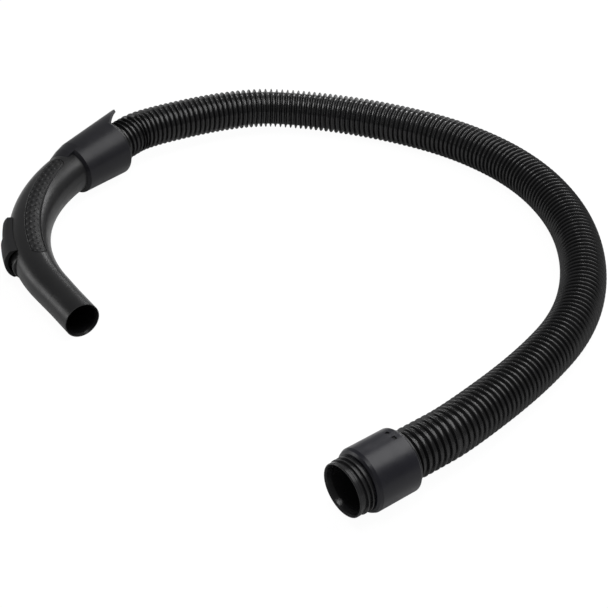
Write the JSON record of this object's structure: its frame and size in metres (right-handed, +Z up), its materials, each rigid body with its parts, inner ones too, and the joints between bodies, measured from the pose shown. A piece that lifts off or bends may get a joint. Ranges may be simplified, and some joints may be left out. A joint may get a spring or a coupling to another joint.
{
  "type": "vacuum cleaner hose",
  "caption": "Ribbed suction hose lying in a wide curve, with a bent swivelling handle that has an air regulator, and a threaded swivelling cuff for the machine.",
  "frame": {"origin": "on the floor, under the middle of the handle and the cuff taken together, with the hose left out", "axes": "+Z up from the floor, +Y from the cuff towards the far part of the hose's curve, +X towards the side that the hose's curve bulges to"},
  "size_m": [0.5411, 0.6284, 0.0584],
  "materials": {
    "hose_plastic": "glossy black, flexible",
    "handle_plastic": "satin charcoal",
    "collar_plastic": "satin charcoal",
    "slider_plastic": "satin dark grey",
    "grip_rubber": "matte, moulded pattern",
    "ferrule_plastic": "semi-gloss black",
    "cuff_plastic": "semi-gloss dark grey",
    "nipple_plastic": "glossy black",
    "seal_rubber": "matte"
  },
  "bodies": {
    "hose_line": {"hose": "hose_plastic", "handle_ferrule": "ferrule_plastic", "cuff_ferrule": "ferrule_plastic"},
    "handle": {"handle_tube": "handle_plastic", "handle_collar": "collar_plastic", "grip_inlay_upper": "grip_rubber", "grip_inlay_lower": "grip_rubber", "handle_retaining_ring": "ferrule_plastic", "handle_seal": "seal_rubber"},
    "regulator": {"regulator_slider": "slider_plastic"},
    "cuff": {"cuff_sleeve": "cuff_plastic", "threaded_nipple": "nipple_plastic", "cuff_retaining_ring": "ferrule_plastic", "cuff_seal": "seal_rubber"}
  },
  "joints": [
    {"name": "handle_swivel", "type": "hinge", "parent": "hose_line", "child": "handle", "pos_m": [-0.0922, 0.24477, 0.02899], "axis": [-0.6182, -0.7856, -0.0262], "continuous": true},
    {"name": "regulator_slide", "type": "hinge", "parent": "handle", "child": "regulator", "pos_m": [0.01662, 0.10938, 0.02095], "axis": [0.0164, -0.0461, 0.9988], "range_deg": [0, 2]},
    {"name": "cuff_swivel", "type": "hinge", "parent": "hose_line", "child": "cuff", "pos_m": [0.16491, -0.22738, 0.02525], "axis": [0.8039, 0.5948, 0], "continuous": true}
  ]
}
